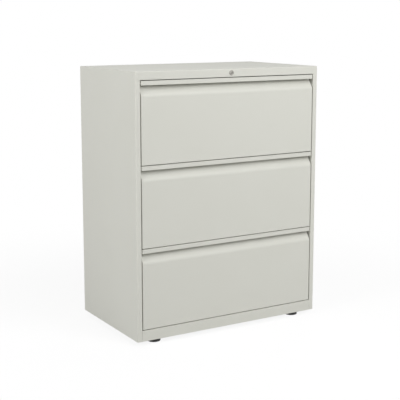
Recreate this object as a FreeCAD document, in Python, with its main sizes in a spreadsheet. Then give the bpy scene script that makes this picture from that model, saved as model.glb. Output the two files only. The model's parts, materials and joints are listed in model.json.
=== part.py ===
"""A three-drawer steel side filing cabinet, in millimetres.

The frame has its origin on the floor under the middle of the cabinet, X to the
right, Y to the back and Z up, so the drawer fronts face -Y.
"""
import FreeCAD
import Part
import Sketcher
import os
import re

# Driving dimensions, grouped by the piece that they belong to.
SIZES = {
    # casing and base
    "cabinet_width": 800,
    "cabinet_depth": 470,
    "cabinet_height": 1000,
    "foot_lift": 15,
    "casing_gauge": 1,
    "casing_radius": 3,
    "fold_radius": 1.2,
    "stile_width": 19.5,
    "rail_height": 30.5,
    "seam_width": 0.6,
    "seam_depth": 0.5,
    "plinth_height": 40.5,
    "return_depth": 20,
    "back_flange": 16,
    "base_height": 20,
    "fit_gap": 0.3,
    "overrun": 5,
    # uprights that carry the slides
    "upright_width": 50,
    "upright_gauge": 1.5,
    "upright_drop": 5,
    "upright_setback": 0.5,
    # drawer fronts with the formed handle
    "front_gap": 3,
    "side_gap": 3.6,
    "front_depth": 30,
    "front_gauge": 1,
    "strip_height": 15.5,
    "strip_thickness": 2,
    "recess_drop": 50,
    "recess_height": 36,
    "recess_depth": 25,
    "recess_radius": 25,
    "liner_fit": 0.4,
    # drawer trays and hanging-file rails
    "tray_drop": 12,
    "tray_headroom": 44,
    "tray_clearance": 50,
    "tray_gauge": 1,
    "tray_floor_lift": 8,
    "rim_clearance": 4.7,
    "file_rail_inset": 30,
    "file_rail_height": 14,
    "file_rail_gauge": 2,
    # telescopic ball slides
    "slide_start": 32,
    "slide_clearance": 38,
    "slide_gauge": 1.2,
    "slide_height": 45,
    "slide_width": 12.7,
    "ball_diameter": 3.9,
    "ball_play": 0.1,
    "cabinet_rail_reach": 10.5,
    "centre_rail_back": 2.4,
    "centre_rail_reach": 11,
    "drawer_rail_reach": 5.2,
    "cage_length": 180,
    "cage_gauge": 0.6,
    "cage_play": 0.3,
    "cage_reach": 4.5,
    # lock and interlock
    "lock_flange": 20,
    "lock_proud": 1.5,
    "lock_barrel": 16,
    "lock_length": 25,
    "lock_clearance": 0.2,
    "lock_nut_width": 23,
    "lock_nut_length": 3,
    "plug_diameter": 12,
    "plug_tail": 7,
    "key_slot_width": 1.4,
    "key_slot_height": 7.5,
    "key_slot_depth": 4,
    "cam_gauge": 2,
    "cam_hub": 15,
    "cam_arm_width": 7,
    "cam_throw": 9,
    "lock_pin": 3,
    "pin_play": 0.35,
    "bar_gauge": 2,
    "bar_play": 0.5,
    "bar_edge": 2.5,
    "bar_width": 10,
    "bar_inset": 3,
    "bar_head": 24,
    "catch_height": 8,
    "catch_reach": 14,
    "catch_offset": 60,
    "stud_diameter": 6,
    "stud_length": 8.5,
    "stud_play": 1,
    "guide_gauge": 1.5,
    "guide_margin": 3,
    # adjustable feet
    "foot_inset": 85,
    "foot_setback": 35,
    "foot_diameter": 50,
    "foot_thickness": 11,
    "foot_chamfer": 3,
    "stem_diameter": 10,
    "stem_length": 42,
    "stem_clearance": 0.2,
    "nut_diameter": 24,
    "nut_height": 9,
}

# Places that follow from the driving dimensions.
PLACES = {
    "front_plane": "cabinet_depth / 2",
    "slide_face": "cabinet_width / 2 - stile_width",
    "wall_face": "cabinet_width / 2 - casing_gauge",
    "opening_top": "cabinet_height - rail_height",
    "floor_top": "foot_lift + base_height",
    "front_width": "2 * (slide_face - side_gap)",
    "front_height": "(opening_top - foot_lift - plinth_height - 4 * front_gap) / 3",
    "drawer_pitch": "front_height + front_gap",
    "first_drawer": "foot_lift + plinth_height + front_gap",
    "recess_start": "front_height - recess_drop",
    "recess_end": "recess_start + recess_height",
    "tray_face": "slide_face - slide_width",
    "tray_inside": "tray_face - tray_gauge",
    "tray_rim": "slide_width - rim_clearance",
    "tray_front": "front_plane - front_depth",
    "tray_back": "front_plane - tray_clearance",
    "tray_depth": "tray_back + tray_front",
    "tray_middle": "(tray_back - tray_front) / 2",
    "tray_height": "front_height - tray_drop - tray_headroom",
    "slide_level": "front_height / 2",
    "slide_back": "front_plane - slide_clearance",
    "slide_length": "slide_back + front_plane - slide_start",
    "ball_room": "ball_diameter + ball_play",
    "outer_half": "slide_height / 2",
    "centre_half": "outer_half - slide_gauge - ball_room",
    "inner_half": "centre_half - slide_gauge - ball_room",
    "lock_level": "cabinet_height - rail_height / 2",
    "cam_plane": "front_plane - lock_length",
    "slide_plane": "cam_plane - cam_gauge - bar_play",
    "bar_plane": "slide_plane - bar_gauge - bar_play",
    "pin_radius": "lock_pin / 2",
    "pin_side": "cam_throw * sqrt(2) / 2",
    "lock_travel": "2 * pin_side",
    "slot_half": "sqrt(2) * (pin_radius + pin_play)",
    "slide_low": "lock_level - cam_throw - pin_radius - pin_play - bar_edge",
    "slide_high": "lock_level - pin_side + pin_radius + pin_play + bar_edge",
    "bar_left": "bar_inset - wall_face",
    "bar_right": "bar_left + bar_width",
    "bar_pin_across": "bar_right + bar_head - slot_half - bar_edge",
    "bar_pin_level": "slide_low + bar_edge + slot_half",
    "head_top": "bar_pin_level + pin_radius + bar_edge",
    "slide_head": "bar_pin_level + lock_travel + slot_half + bar_edge",
    "stud_plane": "bar_plane - bar_gauge - stud_play - stud_diameter / 2",
    "foot_across": "cabinet_width / 2 - foot_inset",
    "foot_along": "front_plane - foot_setback",
}

DRAWERS = ("bottom", "middle", "top")
SIDES = {"left": -1, "right": 1}

doc = FreeCAD.newDocument("side_filing_cabinet")
sheet = doc.addObject("Spreadsheet::Sheet", "sizes")
cells = {name: str(size) for name, size in SIZES.items()}
cells.update({name: "=" + formula for name, formula in PLACES.items()})
for row, (name, content) in enumerate(cells.items(), start=1):
    sheet.set(f"A{row}", name)
    sheet.set(f"B{row}", content)
    sheet.setAlias(f"B{row}", name)
doc.recompute()
sub_parts = []


def tied(formula):
    """The formula with each size read from the sheet."""
    return re.sub(r"[a-z][a-z_]+", lambda word: f"sizes.{word[0]}" if word[0] in cells else word[0], formula)


def value(formula):
    return float(sheet.evalExpression(tied(formula)))


def bind(owner, **formulas):
    for name, formula in formulas.items():
        owner.setExpression(name.replace("__", "."), tied(formula))


def new_body(label, **place):
    """An empty body; place gives the formulas of its X, Y and Z position."""
    body = doc.addObject("PartDesign::Body", label)
    body.Label = label
    body.AllowCompound = True
    for axis, formula in place.items():
        bind(body, **{f"Placement__Base__{axis}": formula})
    sub_parts.append(body)
    return body


def origin_part(body, role):
    return next(part for part in body.Origin.OriginFeatures if part.Role == role)


def new_sketch(body, plane, lift):
    """A sketch on an origin plane, lifted along the plane's normal."""
    sketch = body.newObject("Sketcher::SketchObject", f"{body.Name}_sketch")
    sketch.AttachmentSupport = [(origin_part(body, f"{plane}_Plane"), "")]
    sketch.MapMode = "FlatFace"
    bind(sketch, AttachmentOffset__Base__z=lift)
    return sketch


def hold(sketch, geometry, point, across, up):
    """Dimension one point of the sketch from its origin."""
    for kind, formula in (("DistanceX", across), ("DistanceY", up)):
        rule = Sketcher.Constraint(kind, -1, 1, geometry, point, value(formula))
        bind(sketch, **{f"Constraints[{sketch.addConstraint(rule)}]": formula})


def polygon(sketch, points):
    """A closed outline through points that are pairs of formulas."""
    corners = [FreeCAD.Vector(value(across), value(up), 0) for across, up in points]
    first = sketch.GeometryCount
    count = len(points)
    for at in range(count):
        sketch.addGeometry(Part.LineSegment(corners[at], corners[(at + 1) % count]))
    for at, (across, up) in enumerate(points):
        after = first + (at + 1) % count
        sketch.addConstraint(Sketcher.Constraint("Coincident", first + at, 2, after, 1))
        hold(sketch, first + at, 1, across, up)


def rectangle(left, low, right, high):
    return [(left, low), (right, low), (right, high), (left, high)]


def even_polygon(sketch, across, up, diameter, sides):
    """A regular polygon with corners straight above and below its centre."""
    turns = [360 * corner / sides + 90 for corner in range(sides)]
    radius = f"({diameter}) / 2"
    polygon(sketch, [
        (f"{across} + {radius} * cos({turn})", f"{up} + {radius} * sin({turn})") for turn in turns
    ])


def circle(sketch, across, up, diameter):
    centre = FreeCAD.Vector(value(across), value(up), 0)
    size = value(diameter)
    ring = sketch.addGeometry(Part.Circle(centre, FreeCAD.Vector(0, 0, 1), size / 2))
    hold(sketch, ring, 3, across, up)
    rule = Sketcher.Constraint("Diameter", ring, size)
    bind(sketch, **{f"Constraints[{sketch.addConstraint(rule)}]": diameter})


def add(body, kind, sketch, **settings):
    """A feature made from a sketch, brought up to date at once."""
    feature = body.newObject(f"PartDesign::{kind}", f"{body.Name}_{kind.lower()}")
    feature.Profile = sketch
    for name, setting in settings.items():
        setattr(feature, name, setting)
    return feature


def pad(body, sketch, length, **settings):
    feature = add(body, "Pad", sketch, **settings)
    bind(feature, Length=length)
    doc.recompute()
    return feature


def cut_through(body, sketch, **settings):
    feature = add(body, "Pocket", sketch, Type="ThroughAll", **settings)
    doc.recompute()
    return feature


def cut_to(body, sketch, depth):
    feature = add(body, "Pocket", sketch)
    bind(feature, Length=depth)
    doc.recompute()


def revolve(body, sketch, axis):
    feature = add(body, "Revolution", sketch, Angle=360)
    feature.ReferenceAxis = (origin_part(body, f"{axis}_Axis"), [""])
    doc.recompute()
    return feature


def mirror(body, *features):
    """The same features again on the other side of the cabinet."""
    twin = body.newObject("PartDesign::Mirrored", f"{body.Name}_mirrored")
    twin.Originals = list(features)
    twin.MirrorPlane = (origin_part(body, "YZ_Plane"), [""])
    body.Tip = twin
    doc.recompute()


def repeat_up(body, feature, pitch):
    """One copy of the feature for each drawer, a pitch apart."""
    pattern = body.newObject("PartDesign::LinearPattern", f"{body.Name}_pattern")
    pattern.Originals = [feature]
    pattern.Direction = (origin_part(body, "Z_Axis"), [""])
    pattern.Occurrences = len(DRAWERS)
    bind(pattern, Length=f"{len(DRAWERS) - 1} * {pitch}")
    body.Tip = pattern
    doc.recompute()


def flat_on(box, axis, formula):
    """Whether a box is flat and lies at one place along an axis."""
    low = getattr(box, f"{axis}Min")
    high = getattr(box, f"{axis}Max")
    place = value(formula)
    return abs(low - place) < Part.Precision.confusion() and abs(high - place) < Part.Precision.confusion()


def named(kind, shapes, *places):
    """Names of the faces or edges that lie at all the given places."""
    return [
        f"{kind}{number}"
        for number, shape in enumerate(shapes, start=1)
        if all(flat_on(shape.BoundBox, axis, formula) for axis, formula in places)
    ]


def round_off(body, edges, radius):
    base = body.Tip
    feature = body.newObject("PartDesign::Fillet", f"{body.Name}_fillet")
    feature.Base = (base, edges)
    bind(feature, Radius=radius)
    doc.recompute()


def cut_corner(body, edges, size):
    base = body.Tip
    feature = body.newObject("PartDesign::Chamfer", f"{body.Name}_chamfer")
    feature.Base = (base, edges)
    bind(feature, Size=size)
    doc.recompute()


def hollow(body, gauge, axis, place):
    """Shell the body to sheet metal, open at the face that lies at one place."""
    base = body.Tip
    feature = body.newObject("PartDesign::Thickness", f"{body.Name}_shell")
    feature.Base = (base, named("Face", base.Shape.Faces, (axis, place)))
    feature.Reversed = True
    bind(feature, Value=gauge)
    doc.recompute()


def channel(back, tip, half, gauge, inward, middle="0"):
    """Outline of a channel: web at back, flanges to tip, open on the tip's side."""
    web = f"({back}) {inward} ({gauge})"
    top = f"({middle}) + ({half})"
    low = f"({middle}) - ({half})"
    return [
        (back, low),
        (tip, low),
        (tip, f"{low} + ({gauge})"),
        (web, f"{low} + ({gauge})"),
        (web, f"{top} - ({gauge})"),
        (tip, f"{top} - ({gauge})"),
        (tip, top),
        (back, top),
    ]


def make_outer_casing():
    """Sides and top wrapped from one sheet, with folded front and back edges."""
    body = new_body("outer_casing")
    plan = new_sketch(body, "XY", "foot_lift")
    half_width = "cabinet_width / 2"
    polygon(plan, rectangle(f"-{half_width}", "-front_plane", half_width, "front_plane"))
    pad(body, plan, "cabinet_height - foot_lift")
    outer = body.Tip.Shape.Edges
    below = named("Edge", outer, ("Z", "foot_lift"))
    rounded = [f"Edge{number}" for number in range(1, len(outer) + 1) if f"Edge{number}" not in below]
    round_off(body, rounded, "casing_radius")
    hollow(body, "casing_gauge", "Z", "foot_lift")

    mouth = new_sketch(body, "XZ", "0")
    polygon(mouth, rectangle("-slide_face", "foot_lift - overrun", "slide_face", "opening_top"))
    cut_through(body, mouth, Reversed=True)
    rear = new_sketch(body, "XZ", "0")
    side = f"({half_width} - back_flange)"
    polygon(rear, rectangle(f"-{side}", "foot_lift - overrun", side, "cabinet_height - back_flange"))
    cut_through(body, rear)

    returns = new_sketch(body, "XZ", "front_plane - return_depth")
    fold = "(slide_face + casing_gauge)"
    polygon(returns, [
        (f"-{fold}", "foot_lift"),
        (f"-{fold}", "opening_top + casing_gauge"),
        (fold, "opening_top + casing_gauge"),
        (fold, "foot_lift"),
        ("slide_face", "foot_lift"),
        ("slide_face", "opening_top"),
        ("-slide_face", "opening_top"),
        ("-slide_face", "foot_lift"),
    ])
    pad(body, returns, "return_depth")
    front = ("Y", "-front_plane")
    edges = body.Tip.Shape.Edges
    lips = named("Edge", edges, front, ("Z", "opening_top"))
    for side in ("-slide_face", "slide_face"):
        lips += named("Edge", edges, front, ("X", side))
    round_off(body, lips, "fold_radius")

    lock_hole = new_sketch(body, "XZ", "0")
    circle(lock_hole, "0", "lock_level", "lock_barrel + 2 * lock_clearance")
    cut_through(body, lock_hole, Reversed=True)
    seams = new_sketch(body, "XZ", "front_plane")
    for across in SIDES.values():
        ends = (f"{across} * slide_face", f"{across} * ({half_width} + overrun)")
        polygon(seams, rectangle(ends[0], "opening_top - seam_width", ends[1], "opening_top"))
    cut_to(body, seams, "seam_depth")


def make_back_panel():
    """A plain sheet behind the folded back edges of the casing."""
    body = new_body("back_panel")
    sheet_plane = new_sketch(body, "XZ", "casing_gauge - front_plane")
    side = "(wall_face - casing_radius)"
    top = "cabinet_height - casing_radius - casing_gauge"
    polygon(sheet_plane, rectangle(f"-{side}", "floor_top", side, top))
    pad(body, sheet_plane, "casing_gauge")


def make_plinth_rail():
    """The folded rail between the stiles under the bottom drawer."""
    body = new_body("plinth_rail")
    section = new_sketch(body, "YZ", "0")
    half = "plinth_height / 2"
    middle = "foot_lift + plinth_height / 2"
    polygon(section, channel("-front_plane", "return_depth - front_plane", half, "casing_gauge", "+", middle))
    pad(body, section, "2 * (slide_face - fit_gap)", Midplane=True)
    top = named("Edge", body.Tip.Shape.Edges, ("Y", "-front_plane"), ("Z", "foot_lift + plinth_height"))
    round_off(body, top, "fold_radius")


def foot_places():
    for across in SIDES.values():
        for along in (-1, 1):
            yield f"{across} * foot_across", f"{along} * foot_along"


def make_base_panel():
    """The floor of the cabinet, a pan turned upside down with a hole over each foot."""
    body = new_body("base_panel")
    plan = new_sketch(body, "XY", "foot_lift")
    side = "(wall_face - fit_gap)"
    front = "return_depth + fit_gap - front_plane"
    back = "front_plane - casing_gauge - fit_gap"
    polygon(plan, rectangle(f"-{side}", front, side, back))
    pad(body, plan, "base_height")
    edges = body.Tip.Shape.Edges
    corners = [name for at in (f"-{side}", side) for name in named("Edge", edges, ("Y", back), ("X", at))]
    round_off(body, corners, "casing_radius")
    hollow(body, "casing_gauge", "Z", "foot_lift")
    holes = new_sketch(body, "XY", "0")
    for across, along in foot_places():
        circle(holes, across, along, "stem_diameter + 2 * stem_clearance")
    cut_through(body, holes, Midplane=True)


def make_uprights():
    """Four channels that stand on the floor and carry the slides."""
    centre = "(front_plane - return_depth - upright_setback - upright_width / 2)"
    for place, along in {"front": -1, "rear": 1}.items():
        for side, across in SIDES.items():
            body = new_body(f"{place}_{side}_upright")
            plan = new_sketch(body, "XY", "floor_top")
            outward = "+" if across > 0 else "-"
            back = f"{across} * slide_face"
            tip = f"{across} * wall_face"
            middle = f"{along} * {centre}"
            polygon(plan, channel(back, tip, "upright_width / 2", "upright_gauge", outward, middle))
            pad(body, plan, "opening_top - upright_drop - floor_top")
            if (place, side) == ("front", "left"):
                slot = new_sketch(body, "YZ", "0")
                low = "first_drawer + catch_offset - catch_height / 2 - lock_travel - bar_edge"
                high = "first_drawer + catch_offset + catch_height / 2 + bar_edge"
                near = "-bar_plane - bar_play"
                far = "bar_gauge + bar_play - bar_plane"
                polygon(slot, rectangle(near, low, far, high))
                repeat_up(body, cut_through(body, slot), "drawer_pitch")


def make_drawer_front(drawer, floor):
    """A pan with the handle folded into its top: slope, finger space and strip."""
    body = new_body(f"{drawer}_drawer_front", y="-front_plane", z=floor)
    section = new_sketch(body, "YZ", "0")
    polygon(section, [
        ("0", "0"),
        ("0", "recess_start"),
        ("recess_depth", "recess_end"),
        ("recess_depth", "front_height"),
        ("front_depth", "front_height"),
        ("front_depth", "0"),
    ])
    pad(body, section, "front_width", Midplane=True)
    bend = named("Edge", body.Tip.Shape.Edges, ("Y", "0"), ("Z", "recess_start"))
    round_off(body, bend, "recess_radius")
    hollow(body, "front_gauge", "Y", "front_depth")

    hook = new_sketch(body, "YZ", "0")
    polygon(hook, [
        ("0", "front_height"),
        ("0", "front_height - strip_height"),
        ("strip_thickness", "front_height - strip_height"),
        ("strip_thickness", "front_height - front_gauge"),
        ("recess_depth", "front_height - front_gauge"),
        ("recess_depth", "front_height"),
    ])
    pad(body, hook, "front_width", Midplane=True)
    edges = body.Tip.Shape.Edges
    folds = named("Edge", edges, ("Y", "0"), ("Z", "front_height"))
    folds += named("Edge", edges, ("Y", "0"), ("Z", "0"))
    for side in ("-front_width / 2", "front_width / 2"):
        folds += named("Edge", edges, ("Y", "0"), ("X", side))
    round_off(body, folds, "fold_radius")


def make_front_liner(drawer, floor):
    """The sheet that closes the back of a drawer front."""
    body = new_body(f"{drawer}_front_liner", z=floor)
    plate = new_sketch(body, "XZ", "tray_front")
    edge = "(front_gauge + liner_fit)"
    side = f"(front_width / 2 - {edge})"
    polygon(plate, rectangle(f"-{side}", edge, side, f"front_height - {edge}"))
    pad(body, plate, "front_gauge")


def make_drawer_tray(drawer, floor):
    """The sheets of the tray behind a front: floor, side walls and rear wall."""
    level = f"{floor} + tray_drop"
    pan = new_body(f"{drawer}_drawer_floor", z=level)
    plan = new_sketch(pan, "XY", "0")
    polygon(plan, rectangle("-tray_inside", "-tray_front", "tray_inside", "tray_back - tray_gauge"))
    pad(pan, plan, "tray_floor_lift")
    hollow(pan, "tray_gauge", "Z", "0")

    fold = "tray_height - tray_gauge"
    sides = new_body(f"{drawer}_drawer_sides", y="tray_back", z=level)
    side_section = new_sketch(sides, "XZ", "0")
    polygon(side_section, [
        ("-tray_inside", "0"),
        ("-tray_face", "0"),
        ("-tray_face", fold),
        ("-tray_face - tray_rim", fold),
        ("-tray_face - tray_rim", "tray_height"),
        ("-tray_inside", "tray_height"),
    ])
    mirror(sides, pad(sides, side_section, "tray_depth"))

    rear = new_body(f"{drawer}_drawer_back", z=level)
    rear_section = new_sketch(rear, "YZ", "0")
    polygon(rear_section, [
        ("tray_back - tray_gauge", "0"),
        ("tray_back", "0"),
        ("tray_back", fold),
        ("tray_back + tray_rim", fold),
        ("tray_back + tray_rim", "tray_height"),
        ("tray_back - tray_gauge", "tray_height"),
    ])
    pad(rear, rear_section, "2 * tray_inside", Midplane=True)


def make_file_rails(drawer, floor):
    """Two bars from wall to wall of the tray that carry hanging files."""
    body = new_body(f"{drawer}_file_rails", z=f"{floor} + tray_drop + tray_height - tray_gauge")
    plan = new_sketch(body, "XY", "-file_rail_height")
    for along in (-1, 1):
        near = f"tray_middle + {along} * (tray_depth / 2 - file_rail_inset) - file_rail_gauge / 2"
        polygon(plan, rectangle("-tray_inside", near, "tray_inside", f"{near} + file_rail_gauge"))
    pad(body, plan, "file_rail_height")


def make_lock_stud(drawer, floor):
    """The stud on the tray's left side that the interlock bar catches."""
    body = new_body(f"{drawer}_lock_stud", z=f"{floor} + catch_offset")
    section = new_sketch(body, "YZ", "-tray_face")
    circle(section, "-stud_plane", "0", "stud_diameter")
    pad(body, section, "stud_length", Reversed=True)


def make_rails(label, level, back, tip, half, inward):
    """One channel of the slide on each side of the cabinet."""
    body = new_body(label, y="slide_back", z=level)
    section = new_sketch(body, "XZ", "0")
    polygon(section, channel(f"{back} - slide_face", f"{tip} - slide_face", half, "slide_gauge", inward))
    mirror(body, pad(body, section, "slide_length"))


def make_ball_cages(label, level, back, half):
    """Cages on both sides, with a ball row along each edge as an eight-sided bead."""
    body = new_body(label, y="slide_back - (slide_length - cage_length) / 2", z=level)
    web = new_sketch(body, "XZ", "0")
    tip = f"{back} + cage_reach - slide_face"
    polygon(web, channel(f"{back} - slide_face", tip, f"{half} + cage_gauge / 2", "cage_gauge", "+"))
    cage = pad(body, web, "cage_length")
    rows = new_sketch(body, "XZ", "0")
    for level_sign in (-1, 1):
        even_polygon(rows, tip, f"{level_sign} * ({half})", "ball_diameter", sides=8)
    mirror(body, cage, pad(body, rows, "cage_length"))


def make_slides(drawer, floor):
    """A pair of slides in three members, with two ball cages each."""
    level = f"{floor} + slide_level"
    make_rails(f"{drawer}_cabinet_rails", level, "0", "cabinet_rail_reach", "outer_half", "+")
    make_rails(f"{drawer}_centre_rails", level, "centre_rail_back", "centre_rail_reach", "centre_half", "+")
    make_rails(f"{drawer}_drawer_rails", level, "slide_width", "drawer_rail_reach", "inner_half", "-")
    outer_row = "centre_half + ball_room / 2"
    inner_row = "inner_half + ball_room / 2"
    make_ball_cages(f"{drawer}_outer_ball_cages", level, "slide_gauge + cage_play", outer_row)
    inner_back = "centre_rail_back + slide_gauge + cage_play"
    make_ball_cages(f"{drawer}_inner_ball_cages", level, inner_back, inner_row)


def turned(label, points):
    """A piece turned about the lock's axis; points are radius and depth."""
    body = new_body(label, y="-front_plane", z="lock_level")
    section = new_sketch(body, "XY", "0")
    polygon(section, points)
    revolve(body, section, "Y")
    return body


def make_lock():
    """Barrel, nut and turning plug of the lock in the top rail."""
    bore = "plug_diameter / 2 + lock_clearance"
    turned("lock_housing", [
        (bore, "-lock_proud"),
        ("lock_flange / 2", "-lock_proud"),
        ("lock_flange / 2", "0"),
        ("lock_barrel / 2", "0"),
        ("lock_barrel / 2", "lock_length - bar_play"),
        (bore, "lock_length - bar_play"),
    ])
    nut = new_body("lock_nut", z="lock_level")
    ring = new_sketch(nut, "XZ", "front_plane - casing_gauge - lock_nut_length")
    even_polygon(ring, "0", "0", "lock_nut_width", sides=6)
    circle(ring, "0", "0", "lock_barrel")
    pad(nut, ring, "lock_nut_length")
    plug = turned("lock_plug", [
        ("0", "-lock_proud"),
        ("plug_diameter / 2", "-lock_proud"),
        ("plug_diameter / 2", "lock_length"),
        ("plug_tail / 2", "lock_length"),
        ("plug_tail / 2", "lock_length + cam_gauge"),
        ("0", "lock_length + cam_gauge"),
    ])
    key_slot = new_sketch(plug, "XZ", "lock_proud")
    half = "key_slot_width / 2"
    high = "key_slot_height / 2"
    polygon(key_slot, rectangle(f"-{half}", f"-{high}", half, high))
    cut_to(plug, key_slot, "key_slot_depth")


def make_lock_cam():
    """A cam on the plug's tail; its pin starts down to the left and swings a quarter turn."""
    body = new_body("lock_cam", z="lock_level")
    hub = new_sketch(body, "XZ", "cam_plane - cam_gauge")
    circle(hub, "0", "0", "cam_hub")
    circle(hub, "0", "0", "plug_tail")
    pad(body, hub, "cam_gauge")
    arm = new_sketch(body, "XZ", "cam_plane - cam_gauge")
    near = "(plug_tail + cam_hub) / 4 * sqrt(2) / 2"
    far = "(pin_side + cam_arm_width / 2 * sqrt(2) / 2)"
    wide = "cam_arm_width / 2 * sqrt(2)"
    polygon(arm, [
        (f"-{near} + {wide} / 2", f"-{near} - {wide} / 2"),
        (f"-{far} + {wide} / 2", f"-{far} - {wide} / 2"),
        (f"-{far} - {wide} / 2", f"-{far} + {wide} / 2"),
        (f"-{near} - {wide} / 2", f"-{near} + {wide} / 2"),
    ])
    pad(body, arm, "cam_gauge")
    pin = new_sketch(body, "XZ", "slide_plane - bar_gauge")
    circle(pin, "-pin_side", "-pin_side", "lock_pin")
    pad(body, pin, "bar_gauge + bar_play")


def make_lock_slide():
    """The bar behind the top rail: the cam pushes it sideways, its slant slot lifts the interlock."""
    body = new_body("lock_slide")
    outline = new_sketch(body, "XZ", "slide_plane - bar_gauge")
    left = "bar_pin_across - lock_travel - slot_half - bar_edge"
    shoulder = "bar_pin_across + slot_half + bar_edge"
    polygon(outline, [
        (left, "slide_low"),
        ("slot_half + bar_edge - pin_side", "slide_low"),
        ("slot_half + bar_edge - pin_side", "slide_high"),
        (shoulder, "slide_high"),
        (shoulder, "slide_head"),
        (left, "slide_head"),
    ])
    pad(body, outline, "bar_gauge")
    slots = new_sketch(body, "XZ", "0")
    half = "(pin_radius + pin_play)"
    polygon(slots, rectangle(
        f"-pin_side - {half}",
        f"lock_level - cam_throw - {half}",
        f"-pin_side + {half}",
        f"lock_level - pin_side + {half}",
    ))
    polygon(slots, [
        ("bar_pin_across + slot_half", "bar_pin_level"),
        ("bar_pin_across", "bar_pin_level - slot_half"),
        ("bar_pin_across - lock_travel - slot_half", "bar_pin_level + lock_travel"),
        ("bar_pin_across - lock_travel", "bar_pin_level + lock_travel + slot_half"),
    ])
    cut_through(body, slots, Midplane=True)


def make_interlock_bar():
    """The upright bar with a catch for each drawer, lifted by its pin in the slant slot."""
    body = new_body("interlock_bar")
    outline = new_sketch(body, "XZ", "bar_plane - bar_gauge")
    catch_low = "first_drawer + catch_offset - catch_height / 2 - lock_travel"
    foot = f"{catch_low} - catch_height"
    polygon(outline, [
        ("bar_left", foot),
        ("bar_right", foot),
        ("bar_right", "slide_low"),
        ("bar_right + bar_head", "slide_low"),
        ("bar_right + bar_head", "head_top"),
        ("bar_left", "head_top"),
    ])
    pad(body, outline, "bar_gauge")
    pin = new_sketch(body, "XZ", "bar_plane")
    circle(pin, "bar_pin_across", "bar_pin_level", "lock_pin")
    pad(body, pin, "bar_gauge + bar_play")
    catch = new_sketch(body, "XZ", "bar_plane - bar_gauge")
    catch_high = f"{catch_low} + catch_height"
    polygon(catch, rectangle("bar_right", catch_low, "bar_right + catch_reach", catch_high))
    repeat_up(body, pad(body, catch, "bar_gauge"), "drawer_pitch")


def make_lock_guides():
    """Plates with a window that keep the lock slide and the interlock bar in line."""
    body = new_body("lock_guides")
    guide_shares = (1 / 3, 2 / 3)
    for share in guide_shares:
        hanger = new_sketch(body, "YZ", f"{share} * bar_pin_across")
        near = "-slide_plane"
        far = "bar_gauge - slide_plane"
        polygon(hanger, rectangle(
            f"{near} - guide_margin",
            "slide_low - guide_margin / 2",
            f"{far} + guide_margin",
            "cabinet_height - casing_gauge",
        ))
        polygon(hanger, rectangle(
            f"{near} - fit_gap", "slide_low - fit_gap", f"{far} + fit_gap", "slide_high + fit_gap",
        ))
        pad(body, hanger, "guide_gauge")
        bridge = new_sketch(body, "XY", f"first_drawer + {share} * 3 * drawer_pitch")
        polygon(bridge, rectangle(
            "-wall_face",
            "-bar_plane - guide_margin",
            "-slide_face - upright_gauge",
            "bar_gauge + guide_margin - bar_plane",
        ))
        polygon(bridge, rectangle(
            "bar_left - fit_gap",
            "-bar_plane - fit_gap",
            "bar_right + fit_gap",
            "bar_gauge + fit_gap - bar_plane",
        ))
        pad(body, bridge, "guide_gauge")


def make_feet():
    """Four adjustable feet, each a disc with flats for turning and its stem, and the nuts under the floor."""
    nuts = new_body("foot_nuts")
    rings = new_sketch(nuts, "XY", "floor_top - casing_gauge - nut_height")
    for across, along in foot_places():
        even_polygon(rings, across, along, "nut_diameter", sides=6)
        circle(rings, across, along, "stem_diameter + 2 * stem_clearance")
    pad(nuts, rings, "nut_height")
    labels = [f"{place}_{side}_foot" for side in SIDES for place in ("front", "rear")]
    for label, (across, along) in zip(labels, foot_places()):
        body = new_body(label, x=across, y=along)
        disc = new_sketch(body, "XY", "0")
        even_polygon(disc, "0", "0", "foot_diameter", sides=24)
        pad(body, disc, "foot_thickness")
        rim = named("Edge", body.Tip.Shape.Edges, ("Z", "foot_thickness"))
        cut_corner(body, rim, "foot_chamfer")
        stem = new_sketch(body, "XY", "foot_thickness")
        circle(stem, "0", "0", "stem_diameter")
        pad(body, stem, "stem_length - foot_thickness")


make_outer_casing()
make_back_panel()
make_plinth_rail()
make_base_panel()
make_uprights()
for number, drawer in enumerate(DRAWERS):
    floor = f"first_drawer + {number} * drawer_pitch"
    make_drawer_front(drawer, floor)
    make_front_liner(drawer, floor)
    make_drawer_tray(drawer, floor)
    make_file_rails(drawer, floor)
    make_lock_stud(drawer, floor)
    make_slides(drawer, floor)
make_lock()
make_lock_cam()
make_lock_slide()
make_interlock_bar()
make_lock_guides()
make_feet()
doc.recompute()

for thing in doc.Objects:
    if {"Invalid", "Error"} & set(thing.State):
        raise RuntimeError(f"{thing.Label} failed: {thing.State}")
for part in sub_parts:
    if part.Shape.isNull() or not part.Shape.isValid():
        raise RuntimeError(f"{part.Label} has no valid shape")

os.makedirs("parts", exist_ok=True)
for part in sub_parts:
    part.Shape.exportStep(f"parts/{part.Label}.step")
    print(part.Label, len(part.Shape.Solids), round(part.Shape.Volume))
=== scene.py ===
"""Looks of the three-drawer side filing cabinet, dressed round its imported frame, in metres."""
import bpy
import bmesh
import json
import math
from mathutils import Matrix, Vector


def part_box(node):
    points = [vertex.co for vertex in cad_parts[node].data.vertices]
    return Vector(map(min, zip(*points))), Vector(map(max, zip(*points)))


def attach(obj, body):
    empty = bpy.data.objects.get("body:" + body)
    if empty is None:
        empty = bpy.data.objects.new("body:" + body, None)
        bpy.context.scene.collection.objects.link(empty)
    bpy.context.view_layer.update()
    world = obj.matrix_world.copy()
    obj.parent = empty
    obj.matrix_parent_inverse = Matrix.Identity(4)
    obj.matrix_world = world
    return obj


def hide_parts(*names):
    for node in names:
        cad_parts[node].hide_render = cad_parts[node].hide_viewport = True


MM = 0.001
DRAWERS = ("bottom", "middle", "top")
LEFT_AND_RIGHT = (-1, 1)

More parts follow.
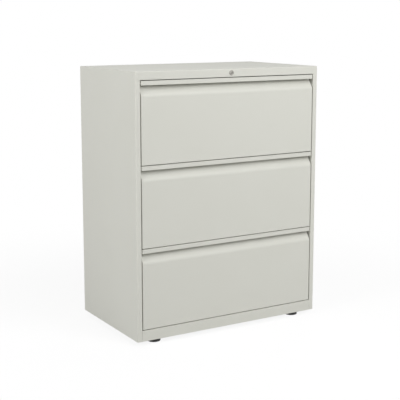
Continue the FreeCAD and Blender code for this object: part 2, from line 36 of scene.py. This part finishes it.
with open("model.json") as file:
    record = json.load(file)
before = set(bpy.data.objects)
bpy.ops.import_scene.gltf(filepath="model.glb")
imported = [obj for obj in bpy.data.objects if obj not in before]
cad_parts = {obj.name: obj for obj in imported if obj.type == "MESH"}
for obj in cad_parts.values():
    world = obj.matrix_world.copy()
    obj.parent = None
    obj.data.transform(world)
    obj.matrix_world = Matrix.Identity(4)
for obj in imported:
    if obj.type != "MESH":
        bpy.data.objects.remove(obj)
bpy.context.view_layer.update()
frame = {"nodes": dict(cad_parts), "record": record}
nodes = frame["nodes"]


# Colours and shader nodes

def linear(hex_colour):
    """An sRGB hex value as linear red, green, blue and alpha."""
    parts = [int(hex_colour[at:at + 2], 16) / 255 for at in (1, 3, 5)]
    return [part / 12.92 if part <= 0.04045 else ((part + 0.055) / 1.055) ** 2.4 for part in parts] + [1]


def add_node(tree, kind, inputs=None, **settings):
    """A shader node with its settings; inputs are numbers, colours or sockets to link."""
    made = tree.nodes.new("ShaderNode" + kind)
    for name, setting in settings.items():
        setattr(made, name, setting)
    for name, source in (inputs or {}).items():
        if isinstance(source, bpy.types.NodeSocket):
            tree.links.new(source, made.inputs[name])
        else:
            made.inputs[name].default_value = source
    return made


def new_material(name):
    """An empty material and its node tree."""
    material = bpy.data.materials.new(name)
    material.use_nodes = True
    tree = material.node_tree
    tree.nodes.clear()
    return material, tree


# Materials

def powder_coated_steel():
    """Cold-rolled steel sheet under a baked polyester powder coat.

    The eye gets an even light grey with a satin sheen and slow, faint clouds of tone. The coat looks smooth
    from across a room, so its orange peel keeps the real width and breaks up the sheen in close views only.
    """
    peel_width = 1.8 * MM
    peel_depth = 0.03 * MM
    cloud_width = 180 * MM
    material, tree = new_material("powder_coated_steel")
    place = add_node(tree, "TexCoord").outputs["Object"]
    cloud = add_node(tree, "TexNoise", {"Vector": place, "Scale": 1 / cloud_width, "Detail": 2})
    tone = add_node(tree, "ValToRGB", {"Fac": cloud.outputs["Fac"]})
    tone.color_ramp.elements[0].color = linear("#D4D4CB")
    tone.color_ramp.elements[1].color = linear("#D7D7CF")
    peel = add_node(tree, "TexNoise", {"Vector": place, "Scale": 1 / peel_width, "Detail": 1})
    gloss = add_node(tree, "MapRange", {"Value": peel.outputs["Fac"], "To Min": 0.52, "To Max": 0.60})
    bump = add_node(tree, "Bump", {"Height": peel.outputs["Fac"], "Strength": 0.25, "Distance": peel_depth})
    paint = add_node(tree, "BsdfPrincipled", {
        "Base Color": tone.outputs["Color"],
        "Roughness": gloss.outputs["Result"],
        "IOR": 1.5,
        "Normal": bump.outputs["Normal"],
    })
    add_node(tree, "OutputMaterial", {"Surface": paint.outputs["BSDF"]})
    return material


def metal(name, light, dark, rough, streak, stretch):
    """A bare or plated metal: tone and gloss waver in streaks of one width, drawn out along an axis."""
    streak_depth = 0.01 * MM
    material, tree = new_material(name)
    place = add_node(tree, "TexCoord").outputs["Object"]
    drawn = add_node(tree, "Mapping", {"Vector": place, "Scale": stretch})
    lines = add_node(tree, "TexNoise", {"Vector": drawn.outputs["Vector"], "Scale": 1 / streak, "Detail": 3})
    tone = add_node(tree, "ValToRGB", {"Fac": lines.outputs["Fac"]})
    tone.color_ramp.elements[0].position = 0.3
    tone.color_ramp.elements[1].position = 0.7
    tone.color_ramp.elements[0].color = linear(dark)
    tone.color_ramp.elements[1].color = linear(light)
    gloss = add_node(tree, "MapRange", {
        "Value": lines.outputs["Fac"], "To Min": rough * 0.85, "To Max": rough * 1.25,
    })
    bump = add_node(tree, "Bump", {
        "Height": lines.outputs["Fac"], "Strength": 0.2, "Distance": streak_depth,
    })
    surface = add_node(tree, "BsdfPrincipled", {
        "Base Color": tone.outputs["Color"],
        "Metallic": 1,
        "Roughness": gloss.outputs["Result"],
        "Normal": bump.outputs["Normal"],
    })
    add_node(tree, "OutputMaterial", {"Surface": surface.outputs["BSDF"]})
    return material


def zinc_plated_roll_formed_steel():
    """Strip rolled to a channel, then bright zinc plated: bluish, with fine draw lines along its length.

    The lines are drawn 0.9 mm wide, coarser than the real ones of about 0.2 mm, so that they show.
    """
    return metal("zinc_plated_roll_formed_steel", "#C3C7CC", "#A9AFB6", 0.30, 0.9 * MM, (1, 0.03, 1))


def satin_zinc_plated_steel():
    """Pressed steel with a passivated zinc plate: greyer and duller, clouded by the bath."""
    return metal("satin_zinc_plated_steel", "#B9BBBC", "#A2A5A8", 0.42, 6 * MM, (1, 1, 1))


def bright_steel_strip():
    """Hard-rolled strip of the ball cages: a thin oily gleam with rolling lines along it.

    The lines are drawn 0.7 mm wide, coarser than the real ones of about 0.2 mm, so that they show.
    """
    return metal("bright_steel_strip", "#BEBDB8", "#A3A29C", 0.26, 0.7 * MM, (1, 0.05, 1))


def polished_bearing_steel():
    """Ground and polished chrome steel balls: a mirror with hardly any haze."""
    return metal("polished_bearing_steel", "#D2D3D4", "#C6C7C9", 0.08, 2 * MM, (1, 1, 1))


def satin_nickel_plate():
    """Nickel over die-cast zinc, brushed before plating: warm grey with a soft highlight.

    The brush marks are drawn 0.5 mm wide, coarser than the real ones of about 0.1 mm, so that they show.
    """
    return metal("satin_nickel_plate", "#A9A7A2", "#8B8983", 0.34, 0.5 * MM, (0.05, 1, 1))


def moulded_polypropylene():
    """Black injection-moulded polypropylene: a dull skin with the fine grain of a spark-eroded mould.

    The grain is drawn 0.6 mm wide, coarser than the real one of about 0.2 mm, so that it shows.
    """
    grain_width = 0.6 * MM
    grain_depth = 0.03 * MM
    material, tree = new_material("moulded_polypropylene")
    place = add_node(tree, "TexCoord").outputs["Object"]
    grain = add_node(tree, "TexNoise", {"Vector": place, "Scale": 1 / grain_width, "Detail": 2})
    tone = add_node(tree, "ValToRGB", {"Fac": grain.outputs["Fac"]})
    tone.color_ramp.elements[0].color = linear("#1B1B1B")
    tone.color_ramp.elements[1].color = linear("#262625")
    bump = add_node(tree, "Bump", {"Height": grain.outputs["Fac"], "Strength": 0.4, "Distance": grain_depth})
    plastic = add_node(tree, "BsdfPrincipled", {
        "Base Color": tone.outputs["Color"],
        "Roughness": 0.5,
        "IOR": 1.49,
        "Normal": bump.outputs["Normal"],
    })
    add_node(tree, "OutputMaterial", {"Surface": plastic.outputs["BSDF"]})
    return material


finishes = {
    "powder_coat": powder_coated_steel(),
    "zinc_rail": zinc_plated_roll_formed_steel(),
    "plated_steel": satin_zinc_plated_steel(),
    "ball_cage": bright_steel_strip(),
    "lock_nickel": satin_nickel_plate(),
    "foot_plastic": moulded_polypropylene(),
}
ball_steel = polished_bearing_steel()


# Pieces kept from the frame: each gets its paint or plating, and the flat sheets get deburred edges

FLAT_SHEETS = ("drawer_floor", "drawer_sides", "drawer_back", "file_rails", "upright", "liner", "guides")


def dress_frame():
    """Gives each node its finish, joins its facets and eases the cut edges of the flat sheets."""
    joined_within = 0.01 * MM
    eased = 0.35 * MM
    sharp = math.radians(40)
    for part in frame["record"]["subparts"]:
        node = nodes[part["node"]]
        node.data.materials.clear()
        node.data.materials.append(finishes[part["material_slot"]])
        weld = node.modifiers.new("join_facets", "WELD")
        weld.merge_threshold = joined_within
        if part["node"].endswith(FLAT_SHEETS):
            ease = node.modifiers.new("eased_edges", "BEVEL")
            ease.width = eased
            ease.segments = 2
            ease.limit_method = "ANGLE"
            ease.angle_limit = sharp
            ease.harden_normals = True


dress_frame()


# Mesh helpers

def new_piece(name, mesh, finish, body, stands_for=()):
    """A piece from a bmesh, smooth but for its sharp edges, that rides on a body."""
    sharp = math.radians(35)
    data = bpy.data.meshes.new(name)
    bmesh.ops.recalc_face_normals(mesh, faces=mesh.faces)
    mesh.to_mesh(data)
    mesh.free()
    data.polygons.foreach_set("use_smooth", [True] * len(data.polygons))
    data.set_sharp_from_angle(angle=sharp)
    data.materials.append(finish)
    piece = bpy.data.objects.new(name, data)
    bpy.context.scene.collection.objects.link(piece)
    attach(piece, body)
    for node in stands_for:
        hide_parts(node)
    return piece


def skin(mesh, rings, closed=False):
    """Faces between rings of equal count, each a closed loop; open ends get a cap."""
    loops = [[mesh.verts.new(point) for point in ring] for ring in rings]
    pairs = list(zip(loops, loops[1:] + loops[:1]))
    for one, two in pairs if closed else pairs[:-1]:
        for at in range(len(one)):
            mesh.faces.new((one[at - 1], one[at], two[at], two[at - 1]))
    if not closed:
        mesh.faces.new(loops[0])
        mesh.faces.new(loops[-1])


def even_turns(count):
    """Angles of a count of points spread evenly round a circle."""
    return [2 * math.pi * step / count for step in range(count)]


def turned(mesh, profile, place, steps=64, closed=False):
    """Turns radius and depth pairs about an axis; place maps right, up and depth to a point."""
    turns = even_turns(steps)
    skin(mesh, [
        [place(radius * math.cos(turn), radius * math.sin(turn), depth) for turn in turns]
        for radius, depth in profile
    ], closed)


def rounded_rectangle(width, height, radius, steps=6):
    """Points round a rectangle about zero, with an arc at each corner."""
    points = []
    for quarter, (right, up) in enumerate(((1, 1), (-1, 1), (-1, -1), (1, -1))):
        for step in range(steps + 1):
            turn = math.pi / 2 * (quarter + step / steps)
            points.append((
                right * (width / 2 - radius) + radius * math.cos(turn),
                up * (height / 2 - radius) + radius * math.sin(turn),
            ))
    return points


def bent_strip(corners, radius, gauge, steps=5):
    """Outline of a sheet of one gauge, bent at the inner corners of a path of its middle line."""
    path = [Vector(corners[0])]
    for before, corner, after in zip(corners, corners[1:], corners[2:]):
        corner = Vector(corner)
        start = corner + (Vector(before) - corner).normalized() * radius
        stop = corner + (Vector(after) - corner).normalized() * radius
        middle = start + stop - corner
        for step in range(steps + 1):
            share = math.sin(math.pi / 2 * step / steps)
            other = math.cos(math.pi / 2 * step / steps)
            path.append(middle + (start - middle) * other + (stop - middle) * share)
    path.append(Vector(corners[-1]))
    near = []
    far = []
    for at, point in enumerate(path):
        along = path[min(at + 1, len(path) - 1)] - path[max(at - 1, 0)]
        side = Vector((-along.y, along.x)).normalized() * gauge / 2
        near.append(point + side)
        far.append(point - side)
    return near + far[::-1]


# Lock: flanged barrel and the plug with its key slot, on the frame's own axis

def half_width(node):
    """Half of a node's size across the cabinet, the radius of a turned one."""
    low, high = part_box(node)
    return (high[0] - low[0]) / 2


def lock_frame():
    """The lock's axis across and up, and the plane of the top rail's face, from which its depths count."""
    low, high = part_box("lock_housing")
    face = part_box("outer_casing")[0][1]
    return (low[0] + high[0]) / 2, (low[2] + high[2]) / 2, face


def lock_barrel():
    """The barrel, with a rounded rim on its flange and a funnel down to the plug."""
    across, up, face = lock_frame()
    low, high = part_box("lock_housing")
    front = low[1] - face
    tail = high[1] - face
    flange = half_width("lock_housing")
    flange_reach = 2 * MM
    barrel = flange - flange_reach
    plug_play = 0.2 * MM
    bore = half_width("lock_plug") + plug_play
    funnel_foot = 2 * MM
    funnel_top = 1.2 * MM
    funnel_wide = 0.5 * MM
    # Millimetres out from the bore, and back from the flange's front
    inner_lip = ((0.6, 0.7), (0.9, 0.15), (1.4, 0))
    # Millimetres in from the flange's rim, and back from its front
    outer_lip = ((1.3, 0), (0.5, 0.25), (0.1, 0.7), (0, 1.2))
    profile = [(bore, tail), (bore, funnel_foot), (bore + funnel_wide, funnel_top)]
    profile += [(bore + out * MM, front + back * MM) for out, back in inner_lip]
    profile += [(flange - inset * MM, front + back * MM) for inset, back in outer_lip]
    profile += [(flange, 0), (barrel, 0), (barrel, tail)]
    mesh = bmesh.new()
    turned(mesh, profile, lambda x, z, depth: (across + x, face + depth, up + z), closed=True)
    new_piece("lock_barrel", mesh, finishes["lock_nickel"], "carcass", ["lock_housing"])


def lock_plug():
    """The plug, set back in the funnel, with an eased rim and a flared key slot in its face."""
    across, up, face = lock_frame()
    low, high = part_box("lock_plug")
    plug = half_width("lock_plug")
    set_back = 0.9 * MM
    front = low[1] - face + set_back
    tail = high[1] - face
    slot_wide = 1.6 * MM
    slot_high = 7.5 * MM
    slot_deep = 4 * MM
    slot_ease = 0.3 * MM
    slot_flare = 1.3
    # Just short of half the width, so that the slot's round ends keep their points apart
    slot_corner = slot_wide / 2 * 0.99
    slot = rounded_rectangle(slot_wide, slot_high, slot_corner, steps=11)
    # Millimetres in from the plug's rim, and back from its front
    eased_rim = ((1.0, 0), (0.3, 0.15), (0, 0.6))
    turns = even_turns(len(slot))

    def ring(radius, depth):
        """A circle about the lock's axis."""
        return [
            (across + radius * math.cos(turn), face + depth, up + radius * math.sin(turn)) for turn in turns
        ]

    def slit(depth, flare):
        """The slot's outline, widened by the flare."""
        return [(across + x * flare, face + depth, up + z) for x, z in slot]

    rings = [slit(front + slot_deep, 1), slit(front + slot_ease, 1), slit(front, slot_flare)]
    rings += [ring(plug - inset * MM, front + back * MM) for inset, back in eased_rim]
    rings.append(ring(plug, tail))
    mesh = bmesh.new()
    skin(mesh, rings)
    new_piece("lock_plug_face", mesh, finishes["lock_nickel"], "lock", ["lock_plug"])


lock_barrel()
lock_plug()


# Blank plate with a raised rim at the left end of the top rail

def blank_plate():
    """A small pressed plate under the same paint as the rail that it sits on."""
    width = 92 * MM
    height = 21 * MM
    corner = 1.6 * MM
    least_corner = 0.3 * MM
    from_left = 15 * MM
    above_middle = 1 * MM
    thick = 0.8 * MM
    rim = 1.1 * MM
    sunk = 0.3 * MM
    ease = 0.2 * MM
    field_edge = 0.5 * MM
    low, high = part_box("outer_casing")
    rail_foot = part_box("top_drawer_front")[1][2]
    across = low[0] + from_left + width / 2
    up = (rail_foot + high[2]) / 2 + above_middle

    def ring(inset, proud):
        """The plate's outline, drawn in by the inset, at a height above the rail's face."""
        outline = rounded_rectangle(width - 2 * inset, height - 2 * inset, max(corner - inset, least_corner))
        return [(across + x, low[1] - proud, up + z) for x, z in outline]

    mesh = bmesh.new()
    skin(mesh, [
        ring(0, 0), ring(0, thick - ease), ring(ease, thick), ring(rim, thick),
        ring(rim + ease, thick - sunk), ring(rim + field_edge, thick - sunk),
    ])
    new_piece("blank_plate", mesh, finishes["powder_coat"], "carcass")


blank_plate()


# Telescopic slides: rolled channels, ball cages with their balls, and the rivets of the drawer channels

RAIL_GAUGE = 1.2 * MM
RAIL_BEND = 1.6 * MM
RAIL_DEPTHS = {"cabinet": 10.5 * MM, "centre": 8.6 * MM, "drawer": 7.5 * MM}
CAGE_GAUGE = 0.6 * MM
CAGE_BEND = 1.2 * MM
CAGE_REACH = 4.5 * MM
BALL = 3.9 * MM
BALL_PITCH = 9 * MM


def mirrored_sections(mesh, corners, bend, gauge, start, stop):
    """A bent strip run from start to stop along the slide, on both sides of the cabinet."""
    outline = bent_strip(corners, bend, gauge)
    for side in LEFT_AND_RIGHT:
        skin(mesh, [[(side * x, along, z) for x, z in outline] for along in (start, stop)])


def channel_corners(web, tip, low, high, gauge):
    """Middle line of a channel within its outer faces: from one tip, round the web, to the other tip."""
    inner = math.copysign(gauge / 2, tip - web)
    return [
        (tip, low + gauge / 2), (web + inner, low + gauge / 2),
        (web + inner, high - gauge / 2), (tip, high - gauge / 2),
    ]


def slide_channels(drawer):
    """The three rolled members, of which the drawer's own opens outwards and the other two inwards."""
    bodies = {"cabinet": "carcass", "centre": f"{drawer}_centre_rails", "drawer": f"{drawer}_drawer"}
    for member, depth in RAIL_DEPTHS.items():
        node = f"{drawer}_{member}_rails"
        low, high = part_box(node)
        web = high[0]
        tip = high[0] - depth
        if member == "drawer":
            web, tip = tip, web
        mesh = bmesh.new()
        corners = channel_corners(web, tip, low[2], high[2], RAIL_GAUGE)
        mirrored_sections(mesh, corners, RAIL_BEND, RAIL_GAUGE, low[1], high[1])
        new_piece(f"{node}_rolled", mesh, finishes["zinc_rail"], bodies[member], [node])


def ball_rows(node):
    """Where a cage's balls run: across, the level midway between its two rows, and half of their spacing."""
    low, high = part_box(node)
    return high[0] - CAGE_REACH, (low[2] + high[2]) / 2, (high[2] - low[2]) / 2 - BALL / 2


def cage_strip(drawer, row):
    """A thin channel on each side, whose edges hold the balls."""
    node = f"{drawer}_{row}_ball_cages"
    low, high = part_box(node)
    tip, level, half = ball_rows(node)
    edge = half + CAGE_GAUGE / 2
    mesh = bmesh.new()
    corners = channel_corners(high[0], tip, level - edge, level + edge, CAGE_GAUGE)
    mirrored_sections(mesh, corners, CAGE_BEND, CAGE_GAUGE, low[1], high[1])
    new_piece(f"{node}_strip", mesh, finishes["ball_cage"], f"{drawer}_{row}_cages", [node])


def cage_balls(drawer, row):
    """Two rows of balls on each side, spread evenly along their cage."""
    node = f"{drawer}_{row}_ball_cages"
    low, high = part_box(node)
    tip, level, half = ball_rows(node)
    length = high[1] - low[1]
    count = int(length / BALL_PITCH)
    mesh = bmesh.new()
    for side in LEFT_AND_RIGHT:
        for up in (-1, 1):
            for number in range(count):
                along = low[1] + (number + 0.5) * length / count
                place = Matrix.Translation((side * tip, along, level + up * half))
                bmesh.ops.create_icosphere(mesh, subdivisions=2, radius=BALL / 2, matrix=place)
    new_piece(f"{drawer}_{row}_balls", mesh, ball_steel, f"{drawer}_{row}_cages")


def drawer_rivets(drawer):
    """Blind rivets that hold the drawer channels to the tray walls, each with its mandrel hole."""
    low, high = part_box(f"{drawer}_drawer_rails")
    seat = high[0] - RAIL_DEPTHS["drawer"] + RAIL_GAUGE
    level = (low[2] + high[2]) / 2
    shares_along = (0.06, 0.2, 0.5, 0.8, 0.94)
    head = 4 * MM
    rise = 1.1 * MM
    hole = 1 * MM
    domed_head = [
        (hole, rise * 0.3), (hole, rise * 0.95), (hole * 1.4, rise), (head * 0.6, rise * 0.85),
        (head * 0.9, rise * 0.45), (head, rise * 0.1), (head, 0),
    ]
    mesh = bmesh.new()
    for side in LEFT_AND_RIGHT:
        for share in shares_along:
            along = low[1] + share * (high[1] - low[1])
            turned(mesh, domed_head, lambda y, z, out: (side * (seat + out), along + y, level + z), steps=24)
    new_piece(f"{drawer}_rail_rivets", mesh, finishes["plated_steel"], f"{drawer}_drawer")


for drawer in DRAWERS:
    slide_channels(drawer)
    for row in ("outer", "inner"):
        cage_strip(drawer, row)
        cage_balls(drawer, row)
    drawer_rivets(drawer)


# Adjustable feet: fluted disc with a soft dome, and a threaded stem

FOOT_DISC_MM = 11


def foot_axis(foot):
    """A foot's upright axis, across and along the cabinet."""
    low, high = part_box(foot)
    return (low[0] + high[0]) / 2, (low[1] + high[1]) / 2


def foot_disc(foot):
    """A moulded disc with a hollow sole, a fluted rim to turn it by, and a dome up to its boss."""
    across, along = foot_axis(foot)
    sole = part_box(foot)[0][2]
    inside_solid = 0.1 * MM
    rim = half_width(foot) - inside_solid
    flutes = 24
    flute_deep = 0.7 * MM
    points_per_flute = 8
    turns = even_turns(flutes * points_per_flute)
    # From the sole up: share of the rim's radius, height in millimetres, share of the flutes' depth
    profile = (
        (0.55, 0.6, 0), (0.6, 0, 0), (0.93, 0, 0.2), (0.985, 0.5, 0.7), (1, 1.4, 1),
        (1, 6, 1), (0.985, 7.2, 0.8), (0.94, 8.3, 0.3), (0.85, 9.3, 0),
        (0.65, 10.3, 0), (0.36, 10.8, 0), (0.34, FOOT_DISC_MM, 0), (0.25, FOOT_DISC_MM, 0),
    )
    rings = []
    for share, height, fluted in profile:
        up = sole + height * MM
        ring = []
        for turn in turns:
            cut = fluted * flute_deep * (0.5 - 0.5 * math.cos(flutes * turn))
            radius = rim * share - cut
            ring.append((across + radius * math.cos(turn), along + radius * math.sin(turn), up))
        rings.append(ring)
    mesh = bmesh.new()
    skin(mesh, rings)
    new_piece(f"{foot}_disc", mesh, finishes["foot_plastic"], foot, [foot])


def foot_stem(foot):
    """The plated stem above the disc, with its thread run round it as one rising ridge."""
    across, along = foot_axis(foot)
    low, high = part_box(foot)
    disc = FOOT_DISC_MM * MM
    stem = 5 * MM
    pitch = 1.5 * MM
    thread = 0.55 * MM
    around = 20
    slices = 5
    count = int((high[2] - low[2] - disc) / pitch * slices)
    rings = []
    for number in range(count + 1):
        up = low[2] + (disc + number * pitch / slices)
        ring = []
        for step, turn in enumerate(even_turns(around)):
            phase = (number / slices - step / around) % 1
            radius = stem - thread * abs(2 * phase - 1)
            ring.append((across + radius * math.cos(turn), along + radius * math.sin(turn), up))
        rings.append(ring)
    mesh = bmesh.new()
    skin(mesh, rings)
    new_piece(f"{foot}_stem", mesh, finishes["plated_steel"], foot)


for side in ("left", "right"):
    for end in ("front", "rear"):
        foot_disc(f"{end}_{side}_foot")
        foot_stem(f"{end}_{side}_foot")


# Stage: white floor that keeps a faint shadow, white surroundings, soft light and the camera

def seen_rays(tree):
    """A socket that is 1 for what the camera, a mirror or glass sees, and 0 for light on the cabinet."""
    rays = add_node(tree, "LightPath")
    seen = add_node(tree, "Math", {
        0: rays.outputs["Is Camera Ray"], 1: rays.outputs["Is Glossy Ray"],
    }, operation="MAXIMUM")
    seen = add_node(tree, "Math", {
        0: seen.outputs["Value"], 1: rays.outputs["Is Transmission Ray"],
    }, operation="MAXIMUM")
    return seen.outputs["Value"]


def white_studio_paper():
    """Matt studio paper: pale grey to the light that it throws back, and white to the eye.

    The eye sees only a small share of it, which keeps a faint shadow near the cabinet and fades out further
    off. The rest is clear: the white surroundings show through it, and so does a foot screwed down past it.
    """
    share_near = 0.15
    whole_within = 0.5
    gone_beyond = 2
    lift_to_white = 0.16
    material, tree = new_material("white_studio_paper")
    lit = add_node(tree, "BsdfDiffuse", {"Color": linear("#D0D0D0")})
    shaded = add_node(tree, "BsdfDiffuse", {"Color": linear("#F3F3F3")})
    glow = add_node(tree, "Emission", {"Color": linear("#FFFFFF"), "Strength": lift_to_white})
    paper = add_node(tree, "AddShader", {0: shaded.outputs["BSDF"], 1: glow.outputs["Emission"]})
    clear = add_node(tree, "BsdfTransparent")
    place = add_node(tree, "TexCoord").outputs["Object"]
    away = add_node(tree, "VectorMath", {0: place}, operation="LENGTH")
    share = add_node(tree, "MapRange", {
        "Value": away.outputs["Value"],
        "From Min": whole_within,
        "From Max": gone_beyond,
        "To Min": share_near,
        "To Max": 0,
    }, interpolation_type="SMOOTHSTEP")
    faint = add_node(tree, "MixShader", {
        "Fac": share.outputs["Result"], 1: clear.outputs["BSDF"], 2: paper.outputs["Shader"],
    })
    both = add_node(tree, "MixShader", {
        "Fac": seen_rays(tree), 1: lit.outputs["BSDF"], 2: faint.outputs["Shader"],
    })
    add_node(tree, "OutputMaterial", {"Surface": both.outputs["Shader"]})
    return material


def make_floor():
    """A square of paper under the cabinet, wide enough to fill every view."""
    reach = 40
    corners = [(-reach, -reach, 0), (reach, -reach, 0), (reach, reach, 0), (-reach, reach, 0)]
    mesh = bpy.data.meshes.new("studio_floor")
    mesh.from_pydata(corners, [], [(0, 1, 2, 3)])
    mesh.materials.append(white_studio_paper())
    floor = bpy.data.objects.new("studio_floor", mesh)
    bpy.context.scene.collection.objects.link(floor)


def make_world(ambient):
    """White surroundings to the eye, and a weak even light on the cabinet."""
    world = bpy.data.worlds.new("white_studio")
    bpy.context.scene.world = world
    world.use_nodes = True
    tree = world.node_tree
    tree.nodes.clear()
    strength = add_node(tree, "MapRange", {"Value": seen_rays(tree), "To Min": ambient, "To Max": 1})
    sky = add_node(tree, "Background", {"Color": (1, 1, 1, 1), "Strength": strength.outputs["Result"]})
    add_node(tree, "OutputWorld", {"Surface": sky.outputs["Background"]})


def make_lamp(name, place, watts, mirrored=True):
    """A round softbox aimed at the cabinet; one that isn't mirrored leaves no glare on the paint."""
    aim = Vector((0, 0, 0.6))
    diameter = 2
    lamp = bpy.data.lights.new(name, "AREA")
    lamp.shape = "DISK"
    lamp.size = diameter
    lamp.energy = watts
    softbox = bpy.data.objects.new(name, lamp)
    softbox.location = place
    softbox.rotation_euler = (aim - Vector(place)).to_track_quat("-Z", "Y").to_euler()
    softbox.visible_glossy = mirrored
    bpy.context.scene.collection.objects.link(softbox)


def make_camera():
    """The photograph's view, set so that the cabinet's corners fall within a few pixels of those in it."""
    yaw = math.radians(31.0)
    pitch = math.radians(9.16)
    place = (-1.914, -3.195, 1.181)
    focal_pixels = 948.7
    frame_pixels = 400
    camera = bpy.data.cameras.new("camera")
    camera.sensor_width = 36
    camera.lens = camera.sensor_width * focal_pixels / frame_pixels
    camera.shift_y = -0.07
    rig = bpy.data.objects.new("camera", camera)
    rig.location = place
    ahead = Vector((math.sin(yaw) * math.cos(pitch), math.cos(yaw) * math.cos(pitch), -math.sin(pitch)))
    rig.rotation_euler = ahead.to_track_quat("-Z", "Y").to_euler()
    bpy.context.scene.collection.objects.link(rig)
    bpy.context.scene.camera = rig


make_floor()
make_world(ambient=0.2)
make_lamp("front_softbox", place=(1.4, -3.4, 2.4), watts=73)
make_lamp("side_softbox", place=(-3.6, -0.6, 2.4), watts=82)
make_lamp("high_softbox", place=(0.2, -2.4, 3.8), watts=33)
make_lamp("rear_softbox", place=(2.6, 2.8, 1.0), watts=60, mirrored=False)
make_camera()
bpy.context.scene.view_settings.view_transform = "Standard"
